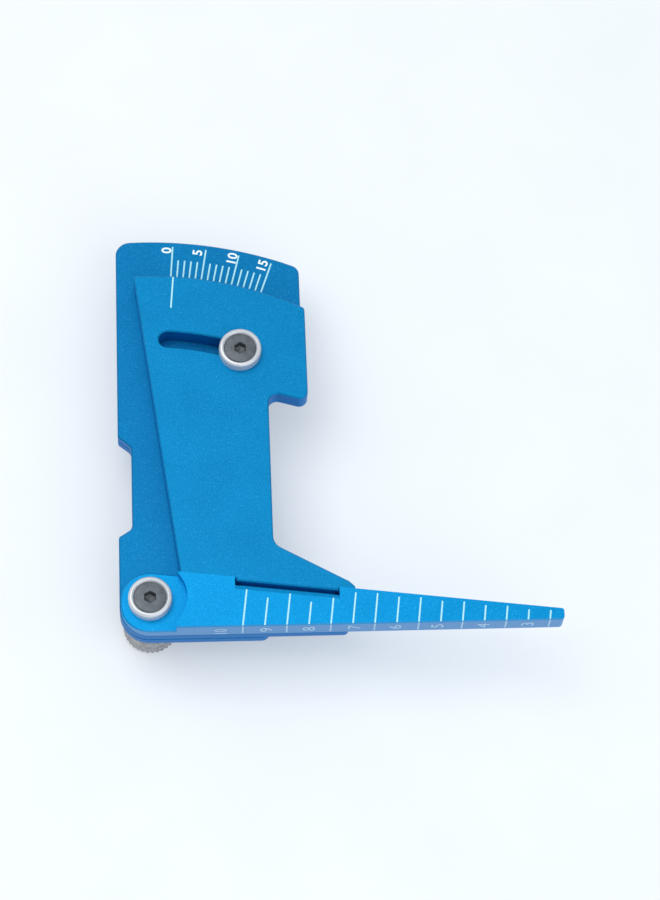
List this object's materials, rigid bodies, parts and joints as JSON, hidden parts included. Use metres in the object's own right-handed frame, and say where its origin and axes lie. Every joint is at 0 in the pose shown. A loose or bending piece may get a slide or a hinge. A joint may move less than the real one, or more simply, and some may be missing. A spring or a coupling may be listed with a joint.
{
  "type": "wheel camber and ride height gauge",
  "caption": "Pocket angle gauge: a pivoting scale arm clamped to an upright plate with a ramped wedge foot, for setting small wheel angles and ride heights.",
  "frame": {"origin": "centre of the gauge's outline, on the plane the two thumb nuts rest on", "axes": "+Z out of the front of the gauge, +Y up the upright, +X along the ramp towards its thin tip"},
  "size_m": [0.081, 0.0812, 0.0186],
  "materials": {
    "upright_anodised": "bead-blasted, blue anodised",
    "foot_anodised": "bead-blasted, light blue anodised",
    "scale_anodised": "bead-blasted, blue anodised",
    "black_steel": "black oxide",
    "silver_washer": "satin silver anodised",
    "silver_nut": "diamond knurled, silver"
  },
  "bodies": {
    "gauge_body": {"upright_plate": "upright_anodised", "ramp_foot": "foot_anodised", "lap_screw_left": "black_steel", "lap_screw_right": "black_steel", "pivot_screw": "black_steel", "pivot_cup_washer": "silver_washer"},
    "scale_arm": {"scale_plate": "scale_anodised", "rear_plate": "scale_anodised", "lock_screw": "black_steel", "lock_cup_washer": "silver_washer"},
    "pivot_nut": {"pivot_thumb_nut": "silver_nut"},
    "lock_nut": {"lock_thumb_nut": "silver_nut"}
  },
  "joints": [
    {"name": "angle_pivot", "type": "hinge", "parent": "gauge_body", "child": "scale_arm", "pos_m": [-0.0349, -0.0344, 0.0116], "axis": [0, 0, 1], "range_deg": [0, 15]},
    {"name": "pivot_nut_turn", "type": "hinge", "parent": "gauge_body", "child": "pivot_nut", "pos_m": [-0.0349, -0.0344, 0.0043], "axis": [0, 0, -1], "range_deg": [0, 360]},
    {"name": "lock_nut_turn", "type": "hinge", "parent": "scale_arm", "child": "lock_nut", "pos_m": [-0.01722, 0.01471, 0.0043], "axis": [0, 0, -1], "range_deg": [0, 360]}
  ]
}
